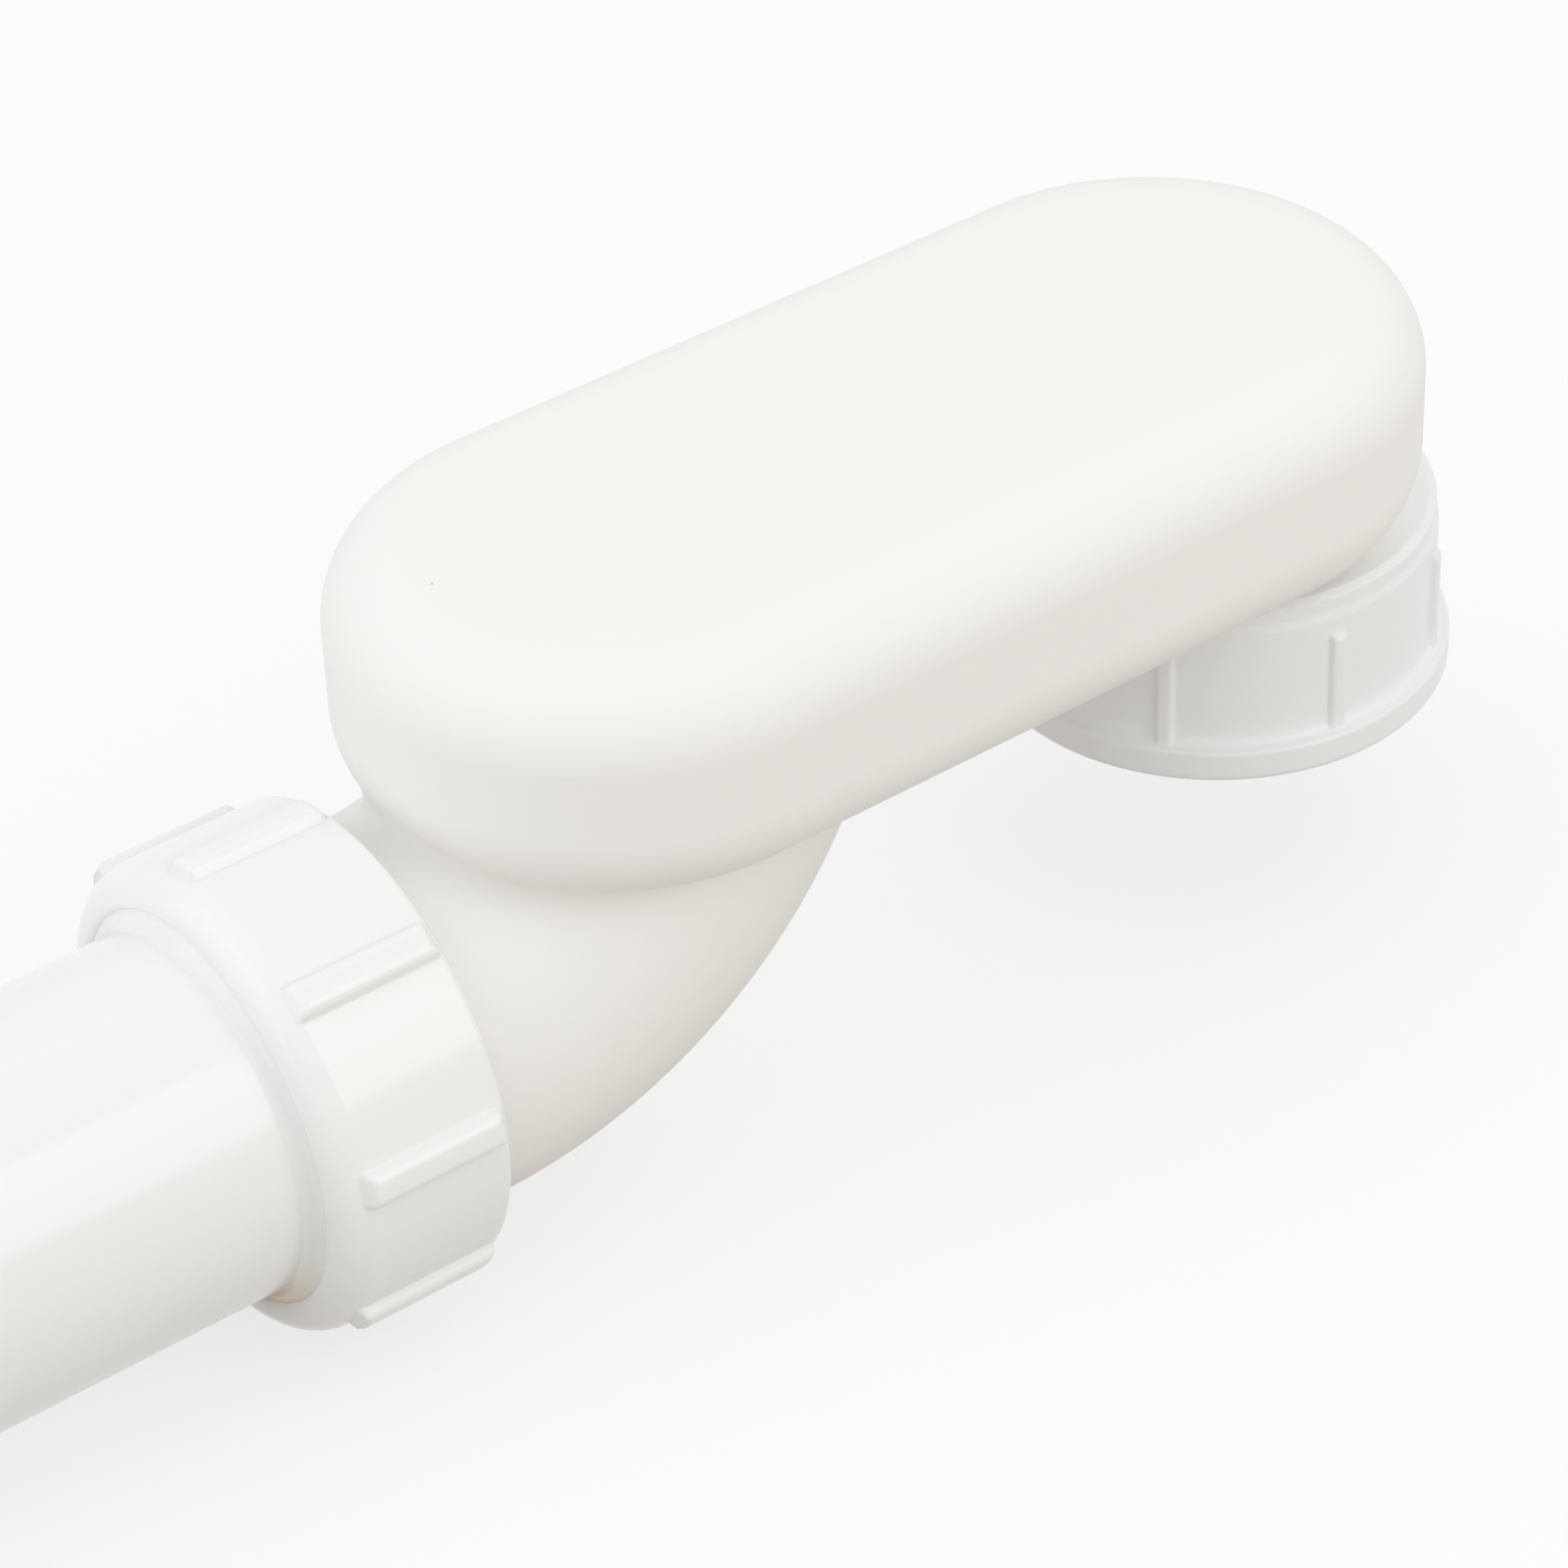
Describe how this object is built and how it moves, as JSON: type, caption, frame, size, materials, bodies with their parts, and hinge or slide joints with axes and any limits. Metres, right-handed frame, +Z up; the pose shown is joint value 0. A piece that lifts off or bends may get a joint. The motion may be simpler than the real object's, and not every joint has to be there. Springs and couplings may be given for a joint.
{
  "type": "space-saving p-trap",
  "caption": "Space-saving waste trap: an oblong water chamber with a captive ribbed union nut at its inlet and an elbow that turns to a compression outlet with its pipe.",
  "frame": {"origin": "centre of the inlet union nut's mouth, on the inlet's axis", "axes": "+Z up the inlet's axis to the chamber, -X out along the outlet pipe. This is the picture's way up: in use the part is turned over, with the chamber at the bottom"},
  "size_m": [0.223, 0.0596, 0.0744],
  "materials": {
    "body_plastic": "satin warm white polypropylene",
    "nut_plastic": "glossy white polypropylene",
    "union_plastic": "half-gloss neutral white polypropylene",
    "pipe_plastic": "glossy white polypropylene tube",
    "ring_plastic": "natural, faintly amber plastic",
    "seal_rubber": "pale rubber",
    "washer_rubber": "black rubber"
  },
  "bodies": {
    "trap": {"trap_body": "body_plastic", "dip_tube": "body_plastic", "inlet_washer": "washer_rubber", "outlet_seal": "seal_rubber"},
    "union_nut": {"inlet_nut": "union_plastic"},
    "slip_ring": {"outlet_slip_ring": "ring_plastic"},
    "compression_nut": {"outlet_nut": "nut_plastic"},
    "pipe": {"outlet_pipe": "pipe_plastic"}
  },
  "joints": [
    {"name": "inlet_nut_turn", "type": "hinge", "parent": "trap", "child": "union_nut", "pos_m": [0, 0, 0.01], "axis": [0, 0, 1], "continuous": true},
    {"name": "outlet_nut_travel", "type": "slide", "parent": "trap", "child": "slip_ring", "axis": [-1, 0, 0], "range_m": [0, 0.009]},
    {"name": "outlet_nut_turn", "type": "hinge", "parent": "slip_ring", "child": "compression_nut", "pos_m": [-0.1255, 0, 0.0039], "axis": [-1, 0, 0], "range_deg": [0, 1080]},
    {"name": "outlet_pipe_slide", "type": "slide", "parent": "trap", "child": "pipe", "axis": [-1, 0, 0], "range_m": [0, 0.006]}
  ],
  "couplings": [
    {"joint": "outlet_nut_travel", "follows": "outlet_nut_turn", "m_per_rad": 0.00047746}
  ]
}
